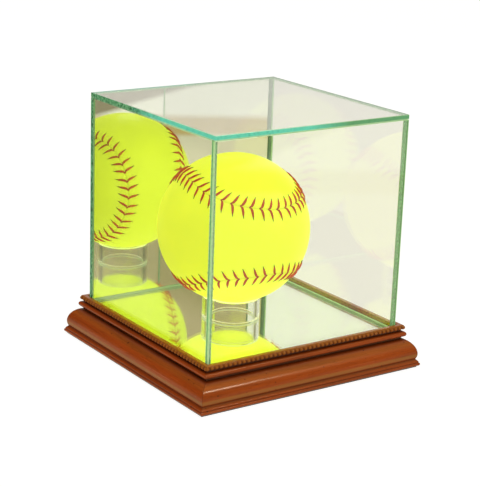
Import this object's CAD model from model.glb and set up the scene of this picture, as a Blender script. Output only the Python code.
"""Looks of a softball display case: stained moulding, glass, mirrors, acrylic stand and ball."""

import math

import bpy
import numpy as np
from mathutils import Matrix, Vector


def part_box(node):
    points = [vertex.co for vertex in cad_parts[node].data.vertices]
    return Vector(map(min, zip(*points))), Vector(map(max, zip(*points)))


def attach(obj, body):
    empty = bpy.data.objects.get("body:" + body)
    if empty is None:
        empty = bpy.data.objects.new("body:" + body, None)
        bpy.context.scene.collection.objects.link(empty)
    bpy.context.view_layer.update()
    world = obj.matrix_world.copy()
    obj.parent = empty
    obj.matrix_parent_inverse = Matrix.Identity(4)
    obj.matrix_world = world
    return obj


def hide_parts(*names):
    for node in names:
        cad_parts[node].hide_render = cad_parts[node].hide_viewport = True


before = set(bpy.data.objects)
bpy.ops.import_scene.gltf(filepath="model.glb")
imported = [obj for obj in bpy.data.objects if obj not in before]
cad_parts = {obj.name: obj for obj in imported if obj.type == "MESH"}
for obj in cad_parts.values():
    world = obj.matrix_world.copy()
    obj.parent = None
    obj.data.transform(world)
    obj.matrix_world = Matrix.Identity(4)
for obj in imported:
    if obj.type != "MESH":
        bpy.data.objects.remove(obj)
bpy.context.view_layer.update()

bl_info = {
    "name": "Softball display case",
    "version": (1, 0, 0),
    "blender": (4, 5, 0),
    "location": "View3D > Sidebar > Display Case",
    "description": "Dresses the packed display case: moulding, glass, mirrors, stand and ball",
    "category": "Object",
}

MM = 0.001


def linear(code):
    """An sRGB hex colour as linear red, green and blue."""
    parts = [int(code[i:i + 2], 16) / 255 for i in (1, 3, 5)]
    return tuple(c / 12.92 if c <= 0.04045 else ((c + 0.055) / 1.055) ** 2.4 for c in parts)


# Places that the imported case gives, in metres
plinth_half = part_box("front_rail")[1].x
base_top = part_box("front_rail")[1].z
ledge_half = -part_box("front_rail")[1].y
felt_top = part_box("felt_sheet")[1].z
mirror_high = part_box("floor_mirror_glass")[1]
mirror_top = mirror_high.z
case_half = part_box("front_glass")[1].x
stand_low, stand_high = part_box("ball_stand")
stand_middle = (stand_low + stand_high) / 2
ball_low, ball_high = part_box("ball_panel_upright")
ball_radius = (ball_high.z - ball_low.z) / 2
ball_middle = Vector((stand_middle.x, stand_middle.y, ball_high.z - ball_radius))


LENGTH = {"unit": "LENGTH", "precision": 6}
COLOUR = {"subtype": "COLOR", "size": 3, "min": 0, "max": 1}


class CaseSizes(bpy.types.PropertyGroup):
    """Lengths that shape the pieces modelled here."""

    clearance: bpy.props.FloatProperty(
        name="Clearance", description="Hair's breadth kept between two touching clear pieces",
        default=0.02 * MM, **LENGTH)
    arris: bpy.props.FloatProperty(
        name="Arris", description="Rubbed-down edge of every pane",
        default=0.3 * MM, **LENGTH)
    bead_pitch: bpy.props.FloatProperty(
        name="Bead pitch", description="From one bead of the top edge to the next",
        default=3.3 * MM, **LENGTH)
    stitch_reach: bpy.props.FloatProperty(
        name="Stitch reach", description="From the seam to a stitch's needle hole",
        default=7.5 * MM, **LENGTH)
    cover_thickness: bpy.props.FloatProperty(
        name="Cover thickness", description="Synthetic leather of the ball",
        default=1.9 * MM, **LENGTH)


class CaseColours(bpy.types.PropertyGroup):
    """Colours of the finishes."""

    stain: bpy.props.FloatVectorProperty(
        name="Stain", description="Middle tone of the stained wood",
        default=linear("#993F07"), **COLOUR)
    glaze: bpy.props.FloatVectorProperty(
        name="Glaze", description="Dark glaze left in the grooves of the moulding",
        default=linear("#4C1E08"), **COLOUR)
    cover: bpy.props.FloatVectorProperty(
        name="Ball cover", description="Optic yellow synthetic leather",
        default=linear("#F2FF2A"), **COLOUR)
    thread: bpy.props.FloatVectorProperty(
        name="Thread", description="Waxed red thread",
        default=linear("#D24A14"), **COLOUR)
    glass: bpy.props.FloatVectorProperty(
        name="Glass", description="What a deep view into float glass lets through",
        default=linear("#4FC0A6"), **COLOUR)
    edge: bpy.props.FloatVectorProperty(
        name="Glass edge", description="Glow of a pane's rubbed-down edge",
        default=linear("#5ECAB4"), **COLOUR)
    felt: bpy.props.FloatVectorProperty(
        name="Felt", description="Felt under the base",
        default=linear("#2A3A2C"), **COLOUR)


# ---- Nodes and materials


def rgba(colour):
    """Linear parts and full opacity of a colour that is sRGB hex, a grey or linear already."""
    if isinstance(colour, str):
        colour = linear(colour)
    elif isinstance(colour, float):
        colour = (colour,) * 3
    return (*colour[:3], 1.0)


def node(tree, kind, sockets=None, stops=(), **settings):
    """Adds one node with its settings, colour stops and sockets.

    A socket takes a value, an sRGB hex colour, another socket, or a node, which is linked by the
    first of its outputs that is in use.
    """
    made = tree.nodes.new(f"ShaderNode{kind}")
    for name, value in settings.items():
        setattr(made, name, value)
    if stops:
        elements = made.color_ramp.elements
        while len(elements) < len(stops):
            elements.new(0.5)
        for element, (place, colour) in zip(elements, stops):
            element.position = place
            element.color = rgba(colour)
    for name, value in (sockets or {}).items():
        if isinstance(value, bpy.types.Node):
            value = next(output for output in value.outputs if output.enabled)
        if isinstance(value, bpy.types.NodeSocket):
            tree.links.new(value, made.inputs[name])
        else:
            made.inputs[name].default_value = rgba(value) if isinstance(value, str) else value
    return made


def blank(name):
    """A material with an empty node tree, the tree, and the place of each point of the piece."""
    material = bpy.data.materials.new(name)
    material.use_nodes = True
    tree = material.node_tree
    tree.nodes.clear()
    return material, tree, node(tree, "TexCoord").outputs["Object"]


def finished(material, surface, volume=None):
    """The material, with its shader linked to its output."""
    sockets = {"Surface": surface}
    if volume is not None:
        sockets["Volume"] = volume
    node(material.node_tree, "OutputMaterial", sockets)
    return material


def two_tones(tree, place, size, detail, low, high):
    """A soft mottle between two tones, its patches of a size in mm."""
    mottle = node(tree, "TexNoise", {"Vector": place, "Scale": 1 / (size * MM), "Detail": detail})
    return node(tree, "ValToRGB", {"Fac": mottle}, ((0.3, low), (0.7, high)))


def lit_through(tree, solid, tint):
    """A clear solid that lets light straight through to what is behind it, dimmed by a tint."""
    clear = node(tree, "BsdfTransparent", {"Color": rgba(tint)})
    shadow = node(tree, "LightPath").outputs["Is Shadow Ray"]
    return node(tree, "MixShader", {0: shadow, 1: solid, 2: clear})


# How much dark glaze the moulding's grooves hold, by height in mm
GLAZE_LINES = (
    (0.8, 0.5), (1.3, 0.1), (2.4, 0.0), (2.9, 0.2), (3.1, 0.85), (3.4, 0.1), (4.2, 0.05),
    (5.0, 0.55), (5.6, 0.75), (6.2, 0.25), (7.5, 0.05), (15.8, 0.0), (17.4, 0.3), (18.4, 0.9),
    (19.6, 1.0), (20.3, 0.5), (20.9, 0.05), (22.6, 0.05), (23.4, 0.5), (23.8, 1.0), (24.9, 0.95),
    (25.4, 0.4), (26.2, 0.05), (27.9, 0.0),
)
# How far the stain is rubbed through to a tan, by height in mm
RUBBED_LINES = (
    (0.0, 0.0), (6.2, 0.0), (6.9, 0.5), (8.4, 0.5), (9.6, 0.0), (14.0, 0.0), (15.6, 0.16),
    (17.2, 0.16), (18.0, 0.0), (27.9, 0.0),
)
WORN_FROM = 25.2         # mm, from here up the beads are rubbed to a golden brown
GRAIN_LENGTH = 60.0      # mm, one figure of the grain along a rail
GRAIN_WIDTH = 3.0        # mm across it
PORE_LENGTH = 5.0        # mm
PORE_WIDTH = 0.5         # mm
SPECK = 4.2              # mm between the dark specks of the distressed finish


def stained_wood(name, along):
    """Stained and lacquered hardwood: red-brown, with dark glaze in the grooves, sparse specks,
    a satin gloss and a thin clear coat that catches fine bright lines."""
    colours = bpy.context.scene.case_colours
    material, tree, place = blank(name)
    quarter = math.pi / 2 if along == "Y" else 0.0
    turned = node(tree, "Mapping", {"Vector": place, "Rotation": (0, 0, quarter)})
    streaks = []
    for length, width, look in (
            (GRAIN_LENGTH, GRAIN_WIDTH, {"Detail": 4.0, "Distortion": 0.6}),
            (PORE_LENGTH, PORE_WIDTH, {"Detail": 2.0})):
        scale = (1 / (length * MM), 1 / (width * MM), 1 / (width * MM))
        drawn = node(tree, "Mapping", {"Vector": turned, "Scale": scale})
        streaks.append(node(tree, "TexNoise", {"Vector": drawn, "Scale": 1.0, **look}))
    grain, pores = streaks
    stain = Vector(colours.stain)
    body = node(tree, "ValToRGB", {"Fac": grain}, (
        (0.25, stain * 0.62), (0.5, stain), (0.78, stain * 1.28)))
    pore_mask = node(tree, "MapRange", {
        "Value": pores, "From Min": 0.30, "From Max": 0.42, "To Min": 0.72, "To Max": 1.0})
    tone = node(tree, "Mix", {
        "Factor": 1.0, "A": body, "B": pore_mask}, data_type="RGBA", blend_type="MULTIPLY")
    height = node(tree, "SeparateXYZ", {"Vector": place}).outputs["Z"]
    level = node(tree, "MapRange", {"Value": height, "From Min": 0.0, "From Max": base_top})
    glaze, rubbed = (
        node(tree, "ValToRGB", {"Fac": level}, [
            (z * MM / base_top, share) for z, share in heights])
        for heights in (GLAZE_LINES, RUBBED_LINES))
    worn = node(tree, "MapRange", {
        "Value": height, "From Min": WORN_FROM * MM, "From Max": (WORN_FROM + 1.0) * MM,
        "To Max": 0.5})
    cells = node(tree, "TexVoronoi", {"Vector": place, "Scale": 1 / (SPECK * MM)})
    draw = node(tree, "SeparateColor", {"Color": cells.outputs["Color"]})
    speck_size = node(tree, "MapRange", {
        "Value": draw, "From Min": 0.62, "From Max": 1.0, "To Min": 0.0, "To Max": 0.16})
    near = node(tree, "Math", {0: cells, 1: speck_size}, operation="SUBTRACT")
    speck = node(tree, "MapRange", {
        "Value": near, "From Min": 0.0, "From Max": 0.05, "To Min": 0.85, "To Max": 0.0})
    gap = node(tree, "Attribute", attribute_name="bead_gap").outputs["Fac"]
    for share, colour in (
            (glaze, colours.glaze), (rubbed, "#A8742F"), (worn, "#A06A1C"),
            (speck, colours.glaze), (gap, colours.glaze * 1.6)):
        tone = node(tree, "Mix", {"Factor": share, "A": tone, "B": rgba(colour)}, data_type="RGBA")
    relief = node(tree, "Bump", {"Height": pores, "Strength": 0.12, "Distance": 0.1 * MM})
    gloss = node(tree, "MapRange", {"Value": grain, "To Min": 0.22, "To Max": 0.30})
    return finished(material, node(tree, "BsdfPrincipled", {
        "Base Color": tone, "Roughness": gloss, "IOR": 1.5, "Normal": relief,
        "Specular IOR Level": 0.42, "Specular Tint": (1.0, 0.80, 0.48, 1),
        "Coat Weight": 0.25, "Coat Roughness": 0.12}))


GLASS_DEPTH = 300.0      # mm of glass that dye a ray to the chosen glass colour
REAM = 30.0              # mm, one swell in the face of a pane


def float_glass():
    """Polished float glass: clear through a pane's face, faintly sea-green where the view runs
    deeper."""
    material, tree, place = blank("polished_float_glass")
    ream = node(tree, "TexNoise", {"Vector": place, "Scale": 1 / (REAM * MM)})
    relief = node(tree, "Bump", {"Height": ream, "Strength": 0.02, "Distance": 0.02 * MM})
    glass = node(tree, "BsdfPrincipled", {
        "Base Color": (1, 1, 1, 1), "Roughness": 0.0, "IOR": 1.5,
        "Transmission Weight": 1.0, "Normal": relief})
    lets = [max(c, 0.02) for c in bpy.context.scene.case_colours.glass]
    loss = [-math.log(c) / (GLASS_DEPTH * MM) for c in lets]
    most = max(loss)
    dye = node(tree, "VolumeAbsorption", {
        "Color": (*[1 - c / most for c in loss], 1), "Density": most})
    return finished(material, lit_through(tree, glass, (0.93, 0.95, 0.93)), dye)


CHIP = 1.6               # mm, the bright and dull spots of a rubbed-down edge
CHIP_DRIFT = 14.0        # mm, how their zones wander


def seamed_edge():
    """Rubbed-down edge of float glass: light runs deep along the pane, so it glows sea-green,
    mottled by chips."""
    material, tree, place = blank("seamed_glass_edge")
    chips = node(tree, "TexNoise", {"Vector": place, "Scale": 1 / (CHIP * MM), "Detail": 4.0})
    drift = node(tree, "TexNoise", {
        "Vector": place, "Scale": 1 / (CHIP_DRIFT * MM), "Detail": 2.0})
    x, y, z = node(tree, "SeparateXYZ", {"Vector": place}).outputs
    depth = node(tree, "Attribute", attribute_name="pane_depth").outputs["Fac"]

    # The outer left edges fall into shade towards the back
    shade = node(tree, "Math", {0: drift, 1: 0.05, 2: y}, operation="MULTIPLY_ADD")
    backward = node(tree, "MapRange", {"Value": shade, "From Min": 0.015, "From Max": 0.045})
    leftmost = node(tree, "Math", {0: x, 1: 1 * MM - case_half}, operation="LESS_THAN")
    deep = node(tree, "Math", {0: backward, 1: leftmost}, operation="MULTIPLY")

    # Upright edges change from the outer face of the pane to the inner one
    upright = node(tree, "ValToRGB", {"Fac": depth}, (
        (0.10, "#B2D8A8"), (0.25, "#A2D092"), (0.45, "#B6E2A0"),
        (0.62, "#68AE74"), (0.85, "#60A468"), (1.0, "#84AC5C")))

    # The lid's edge pales along its rims and deepens from the near corner to the right
    rightward = node(tree, "MapRange", {"Value": x, "From Min": -0.005, "From Max": 0.025})
    rim = node(tree, "ValToRGB", {"Fac": depth}, (
        (0.0, 0.5), (0.18, 0.0), (0.8, 0.0), (0.95, 0.85)))
    on_lid = node(tree, "Math", {
        0: z, 1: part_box("top_glass")[0].z - 0.1 * MM}, operation="GREATER_THAN")
    at_foot = node(tree, "Math", {
        0: z, 1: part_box("front_glass")[0].z + 0.4 * MM}, operation="LESS_THAN")
    lid = rgba(bpy.context.scene.case_colours.edge)
    for share, colour in ((rightward, "#589A6C"), (rim, "#BCDCB0")):
        lid = node(tree, "Mix", {"Factor": share, "A": lid, "B": colour}, data_type="RGBA")
    tone = upright
    for share, colour in ((on_lid, lid), (at_foot, "#BCE0A0")):
        tone = node(tree, "Mix", {"Factor": share, "A": tone, "B": colour}, data_type="RGBA")

    mottle = node(tree, "ValToRGB", {"Fac": chips}, ((0.3, 0.78), (0.5, 0.97), (0.7, 1.0)))
    lit = node(tree, "Mix", {
        "Factor": 1.0, "A": tone, "B": mottle}, data_type="RGBA", blend_type="MULTIPLY")
    dark = node(tree, "ValToRGB", {"Fac": chips}, (
        (0.36, "#1C4E32"), (0.5, "#4A8A60"), (0.7, "#74B286")))
    tone = node(tree, "Mix", {"Factor": deep, "A": lit, "B": dark}, data_type="RGBA")
    relief = node(tree, "Bump", {"Height": chips, "Strength": 0.2, "Distance": 0.05 * MM})
    return finished(material, node(tree, "BsdfPrincipled", {
        "Base Color": tone, "Roughness": 0.18, "IOR": 1.5, "Normal": relief,
        "Emission Color": tone, "Emission Strength": 0.32}))


ACRYLIC_IOR = 1.49
DRAW_LINE = 0.8          # mm, drawn coarser than on a real tube, so that it shows


def clear_acrylic():
    """Extruded acrylic tube: water-clear, with faint draw lines along it."""
    material, tree, place = blank("extruded_acrylic")
    drawn = node(tree, "Mapping", {
        "Vector": place, "Scale": (1 / (DRAW_LINE * MM), 1 / (DRAW_LINE * MM), 10.0)})
    draw_lines = node(tree, "TexNoise", {"Vector": drawn, "Scale": 1.0, "Detail": 2.0})
    relief = node(tree, "Bump", {"Height": draw_lines, "Strength": 0.06, "Distance": 0.05 * MM})
    plastic = node(tree, "BsdfPrincipled", {
        "Base Color": (1, 1, 1, 1), "Roughness": 0.0, "IOR": ACRYLIC_IOR,
        "Transmission Weight": 1.0, "Normal": relief})
    return finished(material, lit_through(tree, plastic, 0.95))


def sawn_acrylic():
    """Saw-cut end of the tube: frosted by the blade, so it shows as a pale ring."""
    material, tree, place = blank("sawn_acrylic")
    tone = two_tones(tree, place, 0.6, 3.0, "#D6DCA0", "#F0F3CC")
    return finished(material, node(tree, "BsdfPrincipled", {
        "Base Color": tone, "Roughness": 0.5, "IOR": ACRYLIC_IOR,
        "Emission Color": tone, "Emission Strength": 0.7}))


def cured_adhesive():
    """Light-cured clear adhesive: slightly milky where it fills the joint between two panes."""
    material, tree, place = blank("cured_adhesive")
    bubbles = node(tree, "TexNoise", {"Vector": place, "Scale": 1 / (1.5 * MM), "Detail": 2.0})
    milk = node(tree, "MapRange", {
        "Value": bubbles, "From Min": 0.35, "From Max": 0.7, "To Min": 0.1, "To Max": 0.4})
    clear = node(tree, "BsdfTransparent", {"Color": (0.90, 0.96, 0.93, 1)})
    solid = node(tree, "BsdfPrincipled", {"Base Color": "#CFE3C9", "Roughness": 0.2, "IOR": 1.5})
    return finished(material, node(tree, "MixShader", {0: milk, 1: clear, 2: solid}))


def mirror_silver():
    """Chemically deposited silver: a cold, very slightly green reflection behind the glass."""
    material, tree, place = blank("deposited_silver")
    tone = two_tones(tree, place, 30.0, 1.0, "#E7EDE2", "#EBF0E6")
    return finished(material, node(tree, "BsdfPrincipled", {
        "Base Color": tone, "Metallic": 1.0, "Roughness": 0.0}))


def backing_paint():
    """Grey protective paint rolled over the silver: matt, with a faint orange peel."""
    material, tree, place = blank("mirror_backing_paint")
    peel = node(tree, "TexNoise", {"Vector": place, "Scale": 1 / (1.4 * MM), "Detail": 3.0})
    relief = node(tree, "Bump", {"Height": peel, "Strength": 0.25, "Distance": 0.1 * MM})
    tone = two_tones(tree, place, 35.0, 2.0, "#777A7C", "#838688")
    return finished(material, node(tree, "BsdfPrincipled", {
        "Base Color": tone, "Roughness": 0.55, "Normal": relief}))


FLUORESCENT = 0.6        # share of the cover's light that is scattered; the rest is its own glow
PEBBLE = 0.9             # mm, one pebble of the embossed grain


def ball_cover():
    """Optic yellow synthetic leather: fluorescent, with a fine pebbled grain and a low sheen."""
    material, tree, place = blank("synthetic_leather")
    pebble = node(tree, "TexVoronoi", {"Vector": place, "Scale": 1 / (PEBBLE * MM)})
    cover = Vector(bpy.context.scene.case_colours.cover) * FLUORESCENT
    tone = two_tones(tree, place, 22.0, 3.0, cover * 0.94, cover)
    groove = node(tree, "Attribute", attribute_name="seam_groove").outputs["Fac"]
    tone = node(tree, "Mix", {"Factor": groove, "A": tone, "B": "#8FA018"}, data_type="RGBA")
    relief = node(tree, "Bump", {"Height": pebble, "Strength": 0.10, "Distance": 0.08 * MM})
    return finished(material, node(tree, "BsdfPrincipled", {
        "Base Color": tone, "Roughness": 0.42, "IOR": 1.46, "Normal": relief,
        "Emission Color": tone, "Emission Strength": 1.13}))


PLY_TURNS = 60.0         # radians of twist over one arm of a stitch


def waxed_thread():
    """Twisted waxed cotton thread: matt red, with ply lines across it, and darker towards the
    needle hole."""
    material, tree, _ = blank("waxed_thread")
    along = node(tree, "Attribute", attribute_name="along_stitch").outputs["Fac"]
    plies = node(tree, "Math", {0: along, 1: PLY_TURNS}, operation="MULTIPLY")
    twist = node(tree, "Math", {0: plies}, operation="SINE")
    thread = Vector(bpy.context.scene.case_colours.thread)
    tone = node(tree, "ValToRGB", {"Fac": along}, (
        (0.0, thread * 0.75), (0.2, thread), (0.72, thread), (0.80, "#7A4A10"),
        (0.85, "#3E4410"), (1.0, "#30380C")))
    relief = node(tree, "Bump", {"Height": twist, "Strength": 0.25, "Distance": 0.08 * MM})
    return finished(material, node(tree, "BsdfPrincipled", {
        "Base Color": tone, "Roughness": 0.6, "Specular IOR Level": 0.2, "Normal": relief}))


def wool_felt():
    """Pressed felt: a mat of fine fibres, without a weave."""
    material, tree, place = blank("pressed_felt")
    fibres = node(tree, "TexNoise", {
        "Vector": place, "Scale": 1 / (0.7 * MM), "Detail": 6.0, "Distortion": 2.0})
    felt = Vector(bpy.context.scene.case_colours.felt)
    tone = node(tree, "ValToRGB", {"Fac": fibres}, ((0.3, felt * 0.6), (0.7, felt * 1.4)))
    relief = node(tree, "Bump", {"Height": fibres, "Strength": 0.6, "Distance": 0.3 * MM})
    return finished(material, node(tree, "BsdfPrincipled", {
        "Base Color": tone, "Roughness": 0.95, "Sheen Weight": 0.5, "Normal": relief}))


PLYWOOD_FIGURE = (50.0, 4.0, 1.0 / 0.9)  # mm along the face's grain, across it, and one ply


def birch_plywood():
    """Birch plywood: pale faces and layered edges."""
    material, tree, place = blank("birch_plywood")
    drawn = node(tree, "Mapping", {
        "Vector": place, "Scale": [1 / (length * MM) for length in PLYWOOD_FIGURE]})
    grain = node(tree, "TexNoise", {"Vector": drawn, "Scale": 1.0, "Detail": 4.0})
    tone = node(tree, "ValToRGB", {"Fac": grain}, ((0.3, "#B88F5E"), (0.7, "#DCC096")))
    return finished(material, node(tree, "BsdfPrincipled", {"Base Color": tone, "Roughness": 0.7}))


def plain_finish(name, low, high, roughness, metallic=0.0, size=2.0):
    """A hidden part's finish: two close tones in a fine mottle."""
    material, tree, place = blank(name)
    return finished(material, node(tree, "BsdfPrincipled", {
        "Base Color": two_tones(tree, place, size, 3.0, low, high),
        "Roughness": roughness, "Metallic": metallic}))


# ---- Modelling helpers


def select_only(*pieces):
    """Selects these objects alone and makes the last of them active."""
    bpy.ops.object.select_all(action="DESELECT")
    for piece in pieces:
        piece.select_set(True)
        bpy.context.view_layer.objects.active = piece


def start_editing(action="SELECT"):
    """Opens the active object's mesh with all of it selected, or none."""
    bpy.ops.object.mode_set(mode="EDIT")
    bpy.ops.mesh.select_all(action=action)


def stop_editing():
    """Closes the active object's mesh."""
    bpy.ops.object.mode_set(mode="OBJECT")


def apply_place():
    """Puts the active object's place, turn and size in its mesh."""
    bpy.ops.object.transform_apply(location=True, rotation=True, scale=True)


def copy_of(piece):
    """A copy with its own mesh, in the same place."""
    copy = piece.copy()
    copy.data = piece.data.copy()
    bpy.context.collection.objects.link(copy)
    return copy


def settle(name, body, cad_node, materials, chosen=()):
    """Names and dresses the active object, which takes a CAD node's place and rides on its body.

    chosen holds which of the materials each face wears, where there are several.
    """
    piece = bpy.context.object
    piece.name = piece.data.name = name
    apply_place()
    piece.data.materials.clear()
    for material in materials:
        piece.data.materials.append(material)
    if chosen:
        piece.data.polygons.foreach_set("material_index", chosen)
    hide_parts(cad_node)
    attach(piece, body)
    piece.select_set(False)


def dress(cad_node, material):
    """Gives a CAD node its finish and leaves its shape alone."""
    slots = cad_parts[cad_node].data.materials
    slots.clear()
    slots.append(material)


def rounded_box(low, high, radius, segments):
    """Adds a box between two corners, with every edge rounded."""
    select_only()
    bpy.ops.mesh.primitive_cube_add(size=1, location=(low + high) / 2)
    bpy.context.object.scale = high - low
    apply_place()
    start_editing()
    bpy.ops.mesh.bevel(offset=radius, segments=segments, affect="EDGES")
    stop_editing()
    return bpy.context.object.data


def point_values(mesh, name, values):
    """Stores a number at each point of a mesh, for its material to read."""
    attribute = mesh.attributes.new(name, "FLOAT", "POINT")
    attribute.data.foreach_set("value", np.asarray(values, np.float32))


# ---- Moulding

RECESS_GAP = 0.3         # mm, the mirror's edge to the wood of the recess
TOP_BEAD_REACH = 4.6     # mm outwards from the recess, as the next two are
LOWER_BEAD_REACH = 4.9
CUSHION_REACH = 10.6
PEARL_CORE = 1.1         # mm, the upright band that carries the beads lies this far inside them
PEARL_HALF = 1.25        # mm, half the height of one bead
PEARL_DEPTH = 1.5        # mm, half of what it measures outwards
PEARL_LENGTH = 0.46      # half of what it measures along the rail, as a share of the pitch
PEARL_DROP = 0.5         # mm from the base's top down to a bead's
PEARL_CLEAN = 0.6        # share of a bead that the glaze leaves clean
BAND_GLAZE = 0.75        # the most glaze on the band between two beads
BAND_FADE = 2.4          # mm down the band, over which it would become solid
MITRE_GLAZE = 0.4        # mm of glaze along a mitre's hairline
MITRE_DARK = 0.8         # how much it holds

# The section: a corner, or an arc through a place to another in a number of steps. Each place is
# in mm outwards from the named face and upwards, here from the felt ...
LOWER_SECTION = (
    ("ledge", (0.0, 0.0)),
    ("plinth", (-1.1, 0.0)),
    ("plinth", (-0.12, 0.75), (0.0, 1.4), 4),
    ("plinth", (-0.08, 1.9), (-0.35, 2.15), 3),
    ("plinth", (-0.75, 2.3)),
    ("plinth", (-0.7, 2.55)),
    ("plinth", (-0.85, 3.2), (-1.3, 3.6), 4),
    ("cushion", (-0.9, 4.6)),
    ("cushion", (-0.17, 6.55), (0.0, 8.5), 6),
    ("cushion", (-2.6, 14.6), (-6.7, 17.55), 14),
    ("cushion", (-7.3, 17.8)),
    ("lower bead", (-2.4, 17.8)),
    ("lower bead", (-2.4, 18.9)),
    ("lower bead", (-1.3, 19.2)),
    ("lower bead", (0.0, 21.0), (-1.3, 22.7), 9),
    ("top bead", (-2.4, 23.0)),
    ("top bead", (-2.4, 23.8)),
)
# ... and here from the base's top
UPPER_SECTION = (
    ("band", (0.0, -2.6)),
    ("band", (0.0, -0.75)),
    ("band", (-0.2, -0.2), (-0.8, 0.0), 4),
    ("recess", (0.6, 0.0)),
    ("recess", (0.18, -0.18), (0.0, -0.6), 4),
)


def arc(start, through, stop, steps):
    """Points of the circular arc through three points, its start left out."""
    a, b, c = (complex(*p) for p in (start, through, stop))
    w = (c - a) / (b - a)
    centre = (b - a) * (w - abs(w) ** 2) / (2j * w.imag) + a
    first, last = a - centre, c - centre
    turn = math.atan2((last / first).imag, (last / first).real)
    middle = (b - centre) / first
    if (math.atan2(middle.imag, middle.real) > 0) != (turn > 0):
        turn -= math.copysign(2 * math.pi, turn)
    points = []
    for k in range(1, steps + 1):
        spun = first * complex(math.cos(turn * k / steps), math.sin(turn * k / steps)) + centre
        points.append((spun.real, spun.imag))
    return points


def moulding_outline():
    """The moulding's section in mm, X outwards from the middle of the case and Y up."""
    recess = mirror_high.x / MM + RECESS_GAP
    faces = {
        "ledge": ledge_half / MM,
        "plinth": plinth_half / MM,
        "cushion": recess + CUSHION_REACH,
        "lower bead": recess + LOWER_BEAD_REACH,
        "top bead": recess + TOP_BEAD_REACH,
        "band": recess + TOP_BEAD_REACH - PEARL_CORE,
        "recess": recess,
    }
    points = []
    for level, section in ((felt_top / MM, LOWER_SECTION), (base_top / MM, UPPER_SECTION)):
        for face, *places in section:
            ends = [(faces[face] + out, level + up) for out, up in places[:2]]
            points += ends if len(ends) == 1 else arc(points[-1], *ends, places[2])
    ledge_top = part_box("base_board")[0].z / MM
    return points + [(recess, ledge_top), (faces["ledge"], ledge_top)]


def pearl():
    """One bead of the top edge, on the +X rail's middle."""
    middle = mirror_high.x + (RECESS_GAP + TOP_BEAD_REACH) * MM - PEARL_DEPTH * MM
    bpy.ops.mesh.primitive_uv_sphere_add(
        segments=12, ring_count=8, radius=1,
        location=(middle, 0, base_top - PEARL_DROP * MM - PEARL_HALF * MM))
    bead = bpy.context.object
    half = bpy.context.scene.case_sizes.bead_pitch * PEARL_LENGTH
    bead.scale = (PEARL_DEPTH * MM, half, PEARL_HALF * MM)
    apply_place()
    bpy.ops.object.shade_smooth()
    # Glaze sits round a bead's ends and behind it
    sunk = [max(abs(v.co.y) / half, (middle + 0.4 * MM - v.co.x) / MM) for v in bead.data.vertices]
    point_values(bead.data, "bead_gap", [
        max(0.0, min(1.0, (depth - PEARL_CLEAN) / (1 - PEARL_CLEAN))) for depth in sunk])
    return bead


def straight_rail():
    """A length of moulding along Y on the +X side, with its row of beads, not yet mitred."""
    pitch = bpy.context.scene.case_sizes.bead_pitch
    outline = moulding_outline()
    select_only()
    bpy.ops.mesh.primitive_circle_add(vertices=len(outline), fill_type="NGON")
    rail = bpy.context.object
    for vertex, (x, z) in zip(rail.data.vertices, outline):
        vertex.co = (x * MM, -plinth_half, z * MM)
    band = mirror_high.x + (RECESS_GAP + TOP_BEAD_REACH - PEARL_CORE) * MM
    point_values(rail.data, "bead_gap", [
        max(0.0, min(BAND_GLAZE, (base_top - v.co.z) / (BAND_FADE * MM)))
        if abs(v.co.x - band) < 0.05 * MM else 0.0
        for v in rail.data.vertices])
    start_editing()
    bpy.ops.mesh.extrude_region_move(TRANSFORM_OT_translate={"value": (0, 2 * plinth_half, 0)})
    bpy.ops.mesh.select_all(action="SELECT")
    bpy.ops.mesh.normals_make_consistent(inside=False)
    stop_editing()
    bead = pearl()
    count = int(2 * band / pitch) + 3
    row = []
    for k in range(count):
        row.append(copy_of(bead))
        row[-1].data.transform(Matrix.Translation((0, (k - (count - 1) / 2) * pitch, 0)))
    bpy.data.objects.remove(bead)
    select_only(*row, rail)
    bpy.ops.object.join()
    return rail


def mitre(rail):
    """Cuts both ends at 45 degrees, with glaze in the joint's hairline."""
    select_only(rail)
    start_editing()
    for side in (-1, 1):
        bpy.ops.mesh.select_all(action="SELECT")
        bpy.ops.mesh.bisect(
            plane_co=(0, 0, 0), plane_no=(-1, side, 0), use_fill=True, clear_outer=True)
        bpy.ops.mesh.select_all(action="SELECT")
        bpy.ops.mesh.bisect(plane_co=(MITRE_GLAZE * MM, 0, 0), plane_no=(-1, side, 0))
    stop_editing()
    dark = rail.data.attributes["bead_gap"].data
    for vertex in rail.data.vertices:
        if vertex.co.x - abs(vertex.co.y) < 0.02 * MM:
            dark[vertex.index].value = MITRE_DARK
    bpy.ops.object.shade_smooth_by_angle(angle=math.radians(32))


class MakeMoulding(bpy.types.Operator):
    """Four mitred lengths of beaded moulding"""

    bl_idname = "display_case.moulding"
    bl_label = "Moulding"

    def execute(self, context):
        wood = {axis: stained_wood(f"stained_wood_along_{axis.lower()}", axis) for axis in "XY"}
        rail = straight_rail()
        mitre(rail)
        sides = (("right", "Y"), ("back", "X"), ("left", "Y"), ("front", "X"))
        for quarter, (side, along) in enumerate(sides):
            piece = copy_of(rail)
            piece.data.transform(Matrix.Rotation(math.pi / 2 * quarter, 4, "Z"))
            select_only(piece)
            settle(f"{side}_moulding", "base", f"{side}_rail", [wood[along]])
        bpy.data.objects.remove(rail)
        return {"FINISHED"}


# ---- Glass and mirrors

SILVER_ROUNDING = 0.02   # mm, edge of the silver and its paint


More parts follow.
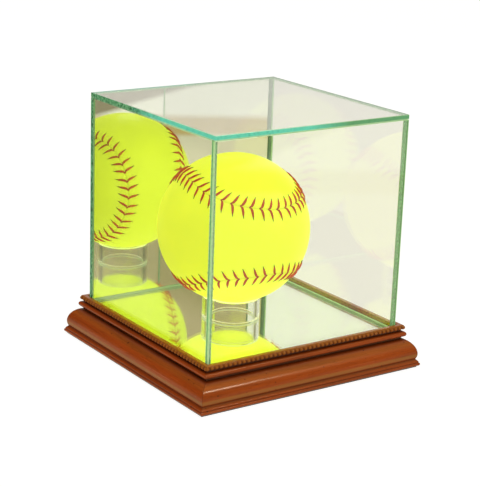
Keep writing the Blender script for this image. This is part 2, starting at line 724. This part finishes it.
def pane(cad_node, name, body, materials):
    """A pane of float glass where its CAD node is, its edges rubbed down."""
    sizes = bpy.context.scene.case_sizes
    low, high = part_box(cad_node)
    gap = Vector((sizes.clearance,) * 3)
    mesh = rounded_box(low + gap, high - gap, sizes.arris, 2)
    thin = min(range(3), key=lambda axis: high[axis] - low[axis])
    outer = high[thin] if high[thin] + low[thin] > 0 else low[thin]
    point_values(mesh, "pane_depth", [
        abs(v.co[thin] - outer) / (high[thin] - low[thin]) for v in mesh.vertices])
    ground = [0 if abs(face.normal[thin]) > 0.99 else 1 for face in mesh.polygons]
    settle(name, body, cad_node, materials, ground)


def silver_sheet(cad_node, name, body, facing, materials):
    """Silver and paint behind a mirror: its face towards the glass shines, the rest is painted."""
    low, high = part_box(cad_node)
    gap = Vector((bpy.context.scene.case_sizes.clearance / 2,) * 3)
    mesh = rounded_box(low + gap, high - gap, SILVER_ROUNDING * MM, 1)
    painted = [0 if face.normal.dot(Vector(facing)) > 0.99 else 1 for face in mesh.polygons]
    settle(name, body, cad_node, materials, painted)


class MakePanes(bpy.types.Operator):
    """The cover's four clear panes"""

    bl_idname = "display_case.panes"
    bl_label = "Clear panes"

    def execute(self, context):
        materials = [float_glass(), seamed_edge()]
        for side in ("front", "left", "right", "top"):
            pane(f"{side}_glass", f"{side}_pane", "cover", materials)
        return {"FINISHED"}


class MakeMirrors(bpy.types.Operator):
    """The mirror in the floor and the mirror that is the back pane"""

    bl_idname = "display_case.mirrors"
    bl_label = "Mirrors"

    def execute(self, context):
        glass = [bpy.data.materials[name] for name in ("polished_float_glass", "seamed_glass_edge")]
        finishes = [mirror_silver(), backing_paint()]
        pane("back_mirror_glass", "back_mirror_pane", "cover", glass)
        pane("floor_mirror_glass", "floor_mirror_pane", "base", glass)
        silver_sheet("back_mirror_silver", "back_mirror_coating", "cover", (0, -1, 0), finishes)
        silver_sheet("floor_mirror_silver", "floor_mirror_coating", "base", (0, 0, 1), finishes)
        return {"FINISHED"}


class MakeAdhesive(bpy.types.Operator):
    """Clear adhesive in the joints between the panes"""

    bl_idname = "display_case.adhesive"
    bl_label = "Adhesive"

    def execute(self, context):
        adhesive = cured_adhesive()
        for cad_node in ("corner_adhesive", "lid_adhesive"):
            dress(cad_node, adhesive)
        return {"FINISHED"}


# ---- Ball stand

STAND_WALL = 3.0         # mm
STAND_EDGE = 0.3         # mm, taken off the saw-cut edges
STAND_SEAT = 0.4         # mm, taken off the edge that carries the ball
STAND_STEPS = 96         # round the tube


class MakeStand(bpy.types.Operator):
    """Short clear tube under the ball"""

    bl_idname = "display_case.stand"
    bl_label = "Ball stand"

    def execute(self, context):
        outside = (stand_high.x - stand_low.x) / 2
        bore = outside - STAND_WALL * MM
        low, high = stand_low.z + context.scene.case_sizes.clearance, stand_high.z
        edge, seat = STAND_EDGE * MM, STAND_SEAT * MM
        section = [
            (bore, low + edge), (bore + edge, low), (outside - edge, low), (outside, low + edge),
            (outside, high - edge), (outside - edge, high), (bore + seat, high),
            (bore, high - seat),
        ]
        select_only()
        bpy.ops.mesh.primitive_circle_add(vertices=len(section), fill_type="NOTHING")
        tube = context.object.data
        for vertex, (x, z) in zip(tube.vertices, section):
            vertex.co = (stand_middle.x + x, stand_middle.y, z)
        start_editing()
        bpy.ops.mesh.spin(
            steps=STAND_STEPS, angle=2 * math.pi, use_auto_merge=True,
            center=(stand_middle.x, stand_middle.y, 0), axis=(0, 0, 1))
        bpy.ops.mesh.select_all(action="SELECT")
        bpy.ops.mesh.remove_doubles(threshold=0.005 * MM)
        bpy.ops.mesh.normals_make_consistent(inside=False)
        stop_editing()
        bpy.ops.object.shade_smooth_by_angle(angle=math.radians(30))
        sawn = [1 if abs(face.normal.z) > 0.95 else 0 for face in tube.polygons]
        materials = [clear_acrylic(), sawn_acrylic()]
        settle("clear_stand", "stand", "ball_stand", materials, sawn)
        return {"FINISHED"}


# ---- Ball

SEAM_WAIST = 0.44        # radians, half of the narrow strip between two runs of the seam
SEAM_SWING = 0.41        # radians, how far the seam's two bends lean into each other
SEAM_TURN = 1.0          # degrees about the upright
SEAM_TIP = 1.9           # degrees, the strip's middle rises this much at the front
SEAM_LEAN = 2.0          # degrees, the strip falls this much towards the right
SEAM_FINENESS = 24       # seam steps for each stitch
SEAM_ZONES = (8.0, 2.2)  # mm from the seam, within which the faces are split once more
AT_ONCE = 4096           # directions measured together, to spare memory
STITCH_COUNT = 88

# Crease along the seam, roll beside it and tuck under the stitches, in mm: height, place, width
CREASE = (-0.50, 0.0, 0.35)
ROLL = (0.30, 1.7, 1.2)
TUCK = (-0.14, 6.6, 1.3)
GROOVE = (0.5, 0.4)      # dirt along the seam: how dark, and how wide in mm

lie = (
    Matrix.Rotation(math.radians(SEAM_TURN), 3, "Z")
    @ Matrix.Rotation(math.radians(SEAM_LEAN), 3, "Y")
    @ Matrix.Rotation(math.radians(-SEAM_TIP), 3, "X")
)


def seam_point(t):
    """A point of the seam on a ball of radius 1, t from 0 to 4 pi."""
    polar = math.pi / 2 - (math.pi / 2 - SEAM_WAIST) * math.cos(t)
    turn = t / 2 + SEAM_SWING * math.sin(2 * t)
    return lie @ Vector((
        math.sin(polar) * math.cos(turn), math.cos(polar), -math.sin(polar) * math.sin(turn)))


def seam_steps(count):
    """Points evenly along the seam, each with the way the seam runs."""
    fine = 8 * count
    points = [seam_point(4 * math.pi * k / fine) for k in range(fine + 1)]
    lengths = np.cumsum([0.0] + [(b - a).length for a, b in zip(points, points[1:])])
    places = []
    for n in range(count):
        k = max(0, int(np.searchsorted(lengths, lengths[-1] * n / count)) - 1)
        places.append((points[k], (points[k + 1] - points[k]).normalized()))
    return places


def on_ball(point, along, ahead, across, height):
    """A place given along and across the seam and above the cover, all in metres."""
    out = point + along * (ahead / ball_radius) + point.cross(along) * (across / ball_radius)
    return ball_middle + out.normalized() * (ball_radius + height)


def outward(places):
    """Directions of many places from the ball's middle."""
    ways = places - np.array(ball_middle)
    return ways / np.linalg.norm(ways, axis=1)[:, None]


def vertex_ways(mesh):
    """Each vertex as a direction from the ball's middle."""
    places = np.empty(len(mesh.vertices) * 3)
    mesh.vertices.foreach_get("co", places)
    return outward(places.reshape(-1, 3))


def seam_distance(ways, seam, runs):
    """How far directions lie from the seam along the ball, in mm, and on which side of it."""
    closest = np.empty(len(ways), int)
    for start in range(0, len(ways), AT_ONCE):
        part = slice(start, start + AT_ONCE)
        closest[part] = (ways[part] @ seam.T).argmax(1)
    near = seam[closest]
    aside = ((ways - near) * np.cross(near, runs[closest])).sum(1)
    return np.abs(aside) * ball_radius / MM, np.sign(aside)


def refine_near_seam(mesh, seam, runs, width):
    """Subdivides the active object's faces within a width of the seam once."""
    far, _ = seam_distance(vertex_ways(mesh), seam, runs)
    start_editing("DESELECT")
    stop_editing()
    for face in mesh.polygons:
        face.select = bool(min(far[v] for v in face.vertices) < width)
    bpy.ops.object.mode_set(mode="EDIT")
    bpy.ops.mesh.subdivide(number_cuts=1)
    stop_editing()


class MakeCover(bpy.types.Operator):
    """The ball's two figure-of-eight cover panels"""

    bl_idname = "display_case.cover"
    bl_label = "Ball cover"

    def execute(self, context):
        seam, runs = (
            np.array(part) for part in zip(*seam_steps(STITCH_COUNT * SEAM_FINENESS)))
        select_only()
        bpy.ops.mesh.primitive_ico_sphere_add(
            subdivisions=6, radius=ball_radius, location=ball_middle)
        apply_place()
        whole = context.object
        for width in SEAM_ZONES:
            refine_near_seam(whole.data, seam, runs, width)
        start_editing()
        bpy.ops.mesh.quads_convert_to_tris()
        stop_editing()
        ways = vertex_ways(whole.data)
        far, side = seam_distance(ways, seam, runs)
        relief = sum(height * np.exp(-((far - place) / width) ** 2)
                     for height, place, width in (CREASE, ROLL, TUCK))
        stand_out = ball_radius + relief * MM
        whole.data.vertices.foreach_set(
            "co", (ways * stand_out[:, None] + np.array(ball_middle)).ravel())
        dark, width = GROOVE
        point_values(whole.data, "seam_groove", np.exp(-(far / width) ** 2) * dark)
        leather = ball_cover()
        top = 1.0 if side[ways[:, 2].argmax()] > 0 else -1.0
        for name, wanted in (("upright", top), ("level", -top)):
            panel = copy_of(whole)
            select_only(panel)
            middles = outward(np.array([face.center for face in panel.data.polygons]))
            _, face_side = seam_distance(middles, seam, runs)
            bpy.ops.object.mode_set(mode="EDIT")
            bpy.ops.mesh.select_mode(type="FACE")
            bpy.ops.mesh.select_all(action="DESELECT")
            stop_editing()
            panel.data.polygons.foreach_set("select", face_side != wanted)
            bpy.ops.object.mode_set(mode="EDIT")
            bpy.ops.mesh.delete(type="FACE")
            stop_editing()
            wall = panel.modifiers.new("wall", "SOLIDIFY")
            wall.thickness = context.scene.case_sizes.cover_thickness
            wall.offset = -1
            bpy.ops.object.modifier_apply(modifier=wall.name)
            bpy.ops.object.shade_smooth_by_angle(angle=math.radians(50))
            settle(f"{name}_panel", "ball", f"ball_panel_{name}", [leather])
        bpy.data.objects.remove(whole)
        return {"FINISHED"}


ARM_SIDES = 6
# One arm of a stitch, in shares of its reach: ahead along the seam, across it, half the thread's
# width, and height above the cover
ARM_SHAPE = (
    (-0.06, 0.00, 0.055, 0.060), (0.11, 0.10, 0.092, 0.080), (0.19, 0.25, 0.110, 0.090),
    (0.27, 0.48, 0.104, 0.082), (0.33, 0.70, 0.078, 0.060), (0.36, 0.80, 0.050, 0.030),
    (0.38, 0.87, 0.036, 0.015), (0.43, 1.00, 0.020, -0.006),
)
THREAD_WIDTH = (0.9, 0.44)  # how much of its width lies back along the seam and out across it
THREAD_HEIGHT = 0.7         # its height for its width


class MakeStitches(bpy.types.Operator):
    """88 V stitches of red thread, dark where they enter their needle holes"""

    bl_idname = "display_case.stitches"
    bl_label = "Stitches"

    def execute(self, context):
        reach = context.scene.case_sizes.stitch_reach
        back, out = THREAD_WIDTH
        points, faces, shares = [], [], []
        for point, along in seam_steps(STITCH_COUNT):
            for side in (-1, 1):
                start = len(points)
                for ahead, across, half, lift in ARM_SHAPE:
                    for corner in range(ARM_SIDES):
                        angle = 2 * math.pi * corner / ARM_SIDES
                        wide = half * math.cos(angle)
                        points.append(on_ball(
                            point, along,
                            (ahead - wide * back) * reach,
                            side * (across + wide * out) * reach,
                            (lift + half * THREAD_HEIGHT * math.sin(angle)) * reach))
                        shares.append(across)
                last = len(points) - ARM_SIDES
                for ring in range(start, last, ARM_SIDES):
                    for corner in range(ARM_SIDES):
                        a, b = ring + corner, ring + (corner + 1) % ARM_SIDES
                        faces.append((a, b, b + ARM_SIDES, a + ARM_SIDES))
                faces += [tuple(range(end, end + ARM_SIDES)) for end in (start, last)]
        mesh = bpy.data.meshes.new("red_stitching")
        mesh.from_pydata(points, [], faces)
        point_values(mesh, "along_stitch", shares)
        stitching = bpy.data.objects.new("red_stitching", mesh)
        context.collection.objects.link(stitching)
        select_only(stitching)
        start_editing()
        bpy.ops.mesh.normals_make_consistent(inside=False)
        stop_editing()
        bpy.ops.object.shade_smooth_by_angle(angle=math.radians(60))
        settle("red_stitching", "ball", "stitch_thread", [waxed_thread()])
        return {"FINISHED"}


class DressHiddenParts(bpy.types.Operator):
    """Finishes of the parts inside the base and the ball"""

    bl_idname = "display_case.hidden_parts"
    bl_label = "Hidden parts"

    def execute(self, context):
        for cad_node, finish in (
                ("felt_sheet", wool_felt()),
                ("base_board", birch_plywood()),
                ("mirror_tape", plain_finish("white_foam", "#E4E2DC", "#F3F1EC", 0.9, size=0.5)),
                ("v_nails", plain_finish("bright_steel", "#8C8F92", "#B4B7BA", 0.35, metallic=1.0)),
                ("ball_core", plain_finish("cork_core", "#8A6A48", "#B0906A", 0.9, size=3.0))):
            dress(cad_node, finish)
        return {"FINISHED"}


# ---- Stage

CAMERA_TURN = -35.085     # degrees round the case from its front
CAMERA_RISE = 16.372
CAMERA_ROLL = 2.086
CAMERA_DISTANCE = 0.9604  # metres, as the next three are
CAMERA_AIM = (0, 0, 0.1)
CAMERA_RIGHT = -0.00238
CAMERA_UP = -0.02559
CAMERA_LENS = 110.03      # mm on a 36 mm long side


def place_camera():
    """The camera at the photograph's angle."""
    turn, rise, roll = (math.radians(a) for a in (CAMERA_TURN, CAMERA_RISE, CAMERA_ROLL))
    back = Vector((
        math.sin(turn) * math.cos(rise), -math.cos(turn) * math.cos(rise), math.sin(rise)))
    right = Vector((0, 0, 1)).cross(back).normalized()
    up = back.cross(right)
    right, up = (
        right * math.cos(roll) + up * math.sin(roll), up * math.cos(roll) - right * math.sin(roll))
    bpy.ops.object.camera_add()
    camera = bpy.context.object
    camera.name = "camera"
    camera.location = (
        Vector(CAMERA_AIM) + back * CAMERA_DISTANCE + right * CAMERA_RIGHT + up * CAMERA_UP)
    camera.rotation_mode = "QUATERNION"
    camera.rotation_quaternion = Matrix((right, up, back)).transposed().to_quaternion()
    camera.data.sensor_width = 36
    camera.data.lens = CAMERA_LENS
    bpy.context.scene.camera = camera


TABLE_EDGE = (0.584, (0.359, -0.525))   # slope, and a place that the edge passes, in metres
CREAM_EDGE = (-0.507, (0.291, -0.569))


def room_mask(tree, place, edge, low, high):
    """Goes from 0 to 1 between two distances beyond a straight edge on the table."""
    slope, (edge_x, edge_y) = edge
    x, y, _ = node(tree, "SeparateXYZ", {"Vector": place}).outputs
    run = node(tree, "Math", {0: x, 1: edge_x}, operation="SUBTRACT")
    line = node(tree, "Math", {0: run, 1: slope, 2: edge_y}, operation="MULTIPLY_ADD")
    over = node(tree, "Math", {0: y, 1: line}, operation="SUBTRACT")
    return node(tree, "MapRange", {"Value": over, "From Min": low, "From Max": high})


THROUGH_GLASS = "#F2EDE0"
STUDIO_LIGHT = "#D6CBB4"
# How the outside of the case mirrors the room, against how it looks through the panes
OUTSIDE_SHINE = (0.58, 0.60, 0.67)


def surroundings(tree, room):
    """What a ray meets beyond the case: white paper, cream behind a pane, the room in a mirror,
    and soft light for a ray that only lights."""
    path = node(tree, "LightPath").outputs
    inside, mirrored, lighting = (
        node(tree, "Math", {0: path[f"{kind} Depth"], 1: 0.5}, operation="GREATER_THAN")
        for kind in ("Transmission", "Glossy", "Diffuse"))
    paper = node(tree, "Mix", {
        "Factor": inside, "A": "#FFFFFF", "B": THROUGH_GLASS}, data_type="RGBA")
    shine = node(tree, "Mix", {
        "Factor": 1.0, "A": room, "B": rgba(OUTSIDE_SHINE)}, data_type="RGBA",
        blend_type="MULTIPLY")
    room = node(tree, "Mix", {"Factor": inside, "A": shine, "B": room}, data_type="RGBA")
    view = node(tree, "Mix", {"Factor": mirrored, "A": paper, "B": room}, data_type="RGBA")
    looked = path["Is Camera Ray"]
    for kind in ("Glossy", "Singular", "Transmission"):
        looked = node(tree, "Math", {0: looked, 1: path[f"Is {kind} Ray"]}, operation="ADD")
    looked = node(tree, "Math", {0: looked, 1: lighting}, operation="SUBTRACT")
    looked = node(tree, "Math", {0: looked, 1: 0.5}, operation="GREATER_THAN")
    return node(tree, "Mix", {"Factor": looked, "A": STUDIO_LIGHT, "B": view}, data_type="RGBA")


def stage_floor():
    """White sweep. Mirrors and panes see a table on it, pale by the case and tan at its edge,
    brown and cream beyond, and a dark room on the left."""
    material, tree, place = blank("studio_floor")
    on_table = room_mask(tree, place, TABLE_EDGE, -0.02, 0.02)
    pale = room_mask(tree, place, TABLE_EDGE, 0.095, 0.12)
    cream = room_mask(tree, place, CREAM_EDGE, -0.01, 0.01)
    across = node(tree, "SeparateXYZ", {"Vector": place})
    lit = node(tree, "MapRange", {"Value": across, "From Min": -0.18, "From Max": -0.15})
    far = node(tree, "Mix", {
        "Factor": cream, "A": "#806A40", "B": rgba(Vector(linear("#FBF0DE")) * 1.26)},
        data_type="RGBA")
    table = node(tree, "Mix", {"Factor": pale, "A": "#D4AC52", "B": "#F6E4BE"}, data_type="RGBA")
    room = node(tree, "Mix", {"Factor": on_table, "A": far, "B": table}, data_type="RGBA")
    room = node(tree, "Mix", {"Factor": lit, "A": "#3A352B", "B": room}, data_type="RGBA")
    glow = node(tree, "Emission", {"Color": surroundings(tree, room), "Strength": 0.92})
    cloth = node(tree, "BsdfDiffuse", {"Color": rgba(0.16)})
    return finished(material, node(tree, "AddShader", {0: glow, 1: cloth}))


# What mirrors, glass and lacquer see of the room: the direction of a patch, the cosines to it
# where it starts and where it is full, its colour and gain
ROOM = (
    ((0.0, 0.0, 1.0), 0.35, 0.6, "#D8D8D2", 1.0),
    ((-0.75, 0.6, 0.05), 0.3, 0.7, "#4A4438", 1.0),
    ((0.58, 0.79, 0.2), 0.75, 0.92, "#F8F0E2", 1.22),
    ((0.50, -0.81, 0.25), 0.84, 0.93, "#C8AC7A", 1.2),
    ((0.45, -0.50, 0.74), 0.88, 0.96, "#E8C880", 1.6),
)


def studio_air():
    """Plain white surroundings; mirrors see the room's patches on a beige-brown ground."""
    world = bpy.data.worlds.new("studio")
    bpy.context.scene.world = world
    world.use_nodes = True
    tree = world.node_tree
    tree.nodes.clear()
    way = node(tree, "TexCoord").outputs["Generated"]
    room = "#948A6C"
    for toward, edge, core, tone, gain in ROOM:
        share = node(tree, "VectorMath", {
            0: way, 1: Vector(toward).normalized()}, operation="DOT_PRODUCT")
        patch = node(tree, "MapRange", {"Value": share, "From Min": edge, "From Max": core})
        room = node(tree, "Mix", {
            "Factor": patch, "A": room, "B": rgba(Vector(linear(tone)) * gain)},
            data_type="RGBA")
    sky = node(tree, "Background", {"Color": surroundings(tree, room), "Strength": 1.0})
    node(tree, "OutputWorld", {"Surface": sky})


# Name, place, what it looks at, side in metres and watts
SOFTBOXES = (
    ("key_light", (0.55, -0.75, 1.15), (0, 0, 0.08), 0.7, 2.85),
    ("top_light", (-0.5, 0.2, 1.3), (0, 0, 0.08), 0.9, 5.0),
    # What the two mirrors throw back on the ball
    ("floor_bounce", (0, 0, mirror_top + 1 * MM), (0, 0, 1), 0.12, 0.07),
    ("back_bounce", (0, case_half - 5 * MM, ball_middle.z), (0, -1, ball_middle.z), 0.12, 0.05),
    ("spark_light", (0.54, -0.83, 0.66), (0, 0, 0.03), 0.07, 0.85),
)
HIGHLIGHT_FROM = "spark_light"  # the others leave no highlight of their own


def softbox(name, place, aim, side, power):
    """A square soft light that looks at a point."""
    bpy.ops.object.light_add(type="AREA", location=place)
    lamp = bpy.context.object
    lamp.name = name
    lamp.data.size = side
    lamp.data.energy = power
    lamp.data.color = linear("#FFF7E8")
    lamp.visible_camera = False
    lamp.visible_glossy = name == HIGHLIGHT_FROM
    lamp.visible_transmission = False
    lamp.rotation_mode = "QUATERNION"
    lamp.rotation_quaternion = (Vector(aim) - Vector(place)).to_track_quat("-Z", "Y")


class SetStage(bpy.types.Operator):
    """White floor, soft lights and the camera"""

    bl_idname = "display_case.stage"
    bl_label = "Stage"

    def execute(self, context):
        select_only()
        bpy.ops.mesh.primitive_plane_add(size=40, location=(0, 0, -0.01 * MM))
        floor = context.object
        floor.name = "studio_floor"
        floor.data.materials.append(stage_floor())
        studio_air()
        for row in SOFTBOXES:
            softbox(*row)
        # A view through the front pane, the tube, both mirrors and a side pane meets many surfaces
        context.scene.cycles.max_bounces = 32
        context.scene.cycles.transmission_bounces = 32
        context.scene.cycles.glossy_bounces = 16
        context.scene.view_settings.view_transform = "Standard"
        place_camera()
        return {"FINISHED"}


# ---- Add-on


class CasePanel(bpy.types.Panel):
    """Lists the pieces of the display case"""

    bl_idname = "VIEW3D_PT_display_case"
    bl_label = "Display Case"
    bl_space_type = "VIEW_3D"
    bl_region_type = "UI"
    bl_category = "Display Case"

    def draw(self, context):
        for group in (context.scene.case_sizes, context.scene.case_colours):
            for name in group.__annotations__:
                self.layout.prop(group, name)
        for operator in OPERATORS:
            self.layout.operator(operator.bl_idname)


OPERATORS = (
    MakeMoulding, MakePanes, MakeMirrors, MakeAdhesive, MakeStand, MakeCover, MakeStitches,
    DressHiddenParts, SetStage,
)
CLASSES = (CaseSizes, CaseColours, *OPERATORS, CasePanel)


def register():
    """Makes the classes and the two groups of settings known."""
    for cls in CLASSES:
        bpy.utils.register_class(cls)
    bpy.types.Scene.case_sizes = bpy.props.PointerProperty(type=CaseSizes)
    bpy.types.Scene.case_colours = bpy.props.PointerProperty(type=CaseColours)


def unregister():
    """Takes them away again."""
    del bpy.types.Scene.case_colours
    del bpy.types.Scene.case_sizes
    for cls in reversed(CLASSES):
        bpy.utils.unregister_class(cls)


def main():
    """Builds every piece and the stage, and notes the sizes."""
    register()
    bpy.ops.display_case.moulding()
    bpy.ops.display_case.panes()
    bpy.ops.display_case.mirrors()
    bpy.ops.display_case.adhesive()
    bpy.ops.display_case.stand()
    bpy.ops.display_case.cover()
    bpy.ops.display_case.stitches()
    bpy.ops.display_case.hidden_parts()
    bpy.ops.display_case.stage()


if __name__ == "__main__":
    main()
